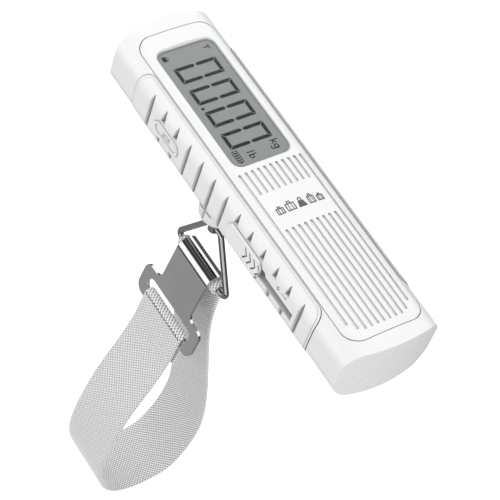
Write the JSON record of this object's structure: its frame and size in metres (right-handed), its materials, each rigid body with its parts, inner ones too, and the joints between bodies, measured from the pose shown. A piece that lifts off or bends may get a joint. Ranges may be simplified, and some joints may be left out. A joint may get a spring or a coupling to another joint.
{
  "type": "hand-held digital luggage scale",
  "caption": "Bar-shaped hand-held luggage scale with display, side button, thumb-slide generator, swivel stem, triangle ring, metal clip and webbing loop.",
  "frame": {"origin": "middle of the handle's length and width, on the crown of the display face", "axes": "+X along the handle towards the ribbed end, +Y away from the thumb controls, +Z out of the display face; the strap hangs along -Z"},
  "size_m": [0.1504, 0.0594, 0.189],
  "materials": {
    "white_body": "satin white moulding",
    "white_grip": "softer satin white moulding",
    "white_control": "satin white control cap",
    "lens": "clear flat lens",
    "lcd": "grey reflective liquid-crystal glass",
    "dark_plastic": "dark grey moulding",
    "shutter_plastic": "mid grey moulding",
    "elastomer": "soft contact strip",
    "board": "solder-masked board",
    "chrome_wire": "polished plating",
    "satin_steel": "fine satin plate",
    "screw_steel": "zinc plated",
    "cell_alloy": "milled",
    "foil": "gauge foil",
    "gear_plastic": "natural acetal",
    "rotor_steel": "ground shaft and magnet drum",
    "cap_sleeve": "dark sleeve",
    "wire_red": "insulated wire",
    "wire_black": "insulated wire",
    "webbing": "light grey basket-weave webbing"
  },
  "bodies": {
    "handle": {"housing": "white_body", "front_panel": "white_body", "grip_panel_strap_side": "white_grip", "grip_panel_far_side": "white_grip", "case_screws": "screw_steel", "display_lens": "lens", "lcd_film": "lcd", "lcd_glass": "lcd", "lcd_frame": "dark_plastic", "zebra_strips": "elastomer", "main_pcb": "board", "pcb_screws": "screw_steel", "tact_switch": "dark_plastic", "supercapacitor": "cap_sleeve", "slot_liner": "shutter_plastic", "generator_can": "screw_steel", "gear_frame_base": "dark_plastic", "gear_frame_top": "dark_plastic", "gear_frame_screws": "screw_steel", "load_cell": "cell_alloy", "strain_gauges": "foil", "load_cell_bracket": "screw_steel", "load_cell_screws": "screw_steel", "load_cell_wires": "wire_red", "generator_wires": "wire_black"},
    "unit_button": {"unit_button": "white_control"},
    "power_slider": {"power_slider": "white_control", "slider_shutter": "shutter_plastic"},
    "drive_gear": {"drive_gear": "gear_plastic"},
    "rotor": {"generator_rotor": "rotor_steel"},
    "stem": {"stem": "chrome_wire", "thrust_washer": "screw_steel", "stem_nut": "screw_steel"},
    "ring": {"triangle_ring": "chrome_wire"},
    "strap": {"clip_plate": "satin_steel", "webbing_strap": "webbing"}
  },
  "joints": [
    {"name": "stem_swivel", "type": "hinge", "parent": "handle", "child": "stem", "pos_m": [-0.0072, -0.0122, -0.024], "axis": [0, 0, 1], "continuous": true},
    {"name": "ring_swing", "type": "hinge", "parent": "stem", "child": "ring", "pos_m": [-0.0072, -0.0122, -0.0323], "axis": [1, 0, 0], "range_deg": [-60, 60]},
    {"name": "strap_swing", "type": "hinge", "parent": "ring", "child": "strap", "pos_m": [-0.0072, -0.0122, -0.0548], "axis": [1, 0, 0], "range_deg": [-25, 25]},
    {"name": "button_press", "type": "slide", "parent": "handle", "child": "unit_button", "axis": [0, 1, 0], "range_m": [0, 0.0006], "stiffness_N_per_m": 900, "springref_m": -0.0005},
    {"name": "slider_travel", "type": "slide", "parent": "handle", "child": "power_slider", "axis": [1, 0, 0], "range_m": [0, 0.016]},
    {"name": "drive_gear_spin", "type": "hinge", "parent": "handle", "child": "drive_gear", "pos_m": [0.0282, -0.0103, -0.014], "axis": [0, 0, 1], "range_deg": [-3, 258.65]},
    {"name": "rotor_spin", "type": "hinge", "parent": "handle", "child": "rotor", "pos_m": [0.03599, -0.0058, -0.014], "axis": [0, 0, 1], "range_deg": [-515.3, 6]}
  ],
  "couplings": [
    {"joint": "drive_gear_spin", "follows": "slider_travel", "rad_per_m": 277.78},
    {"joint": "rotor_spin", "follows": "slider_travel", "rad_per_m": -555.56}
  ]
}
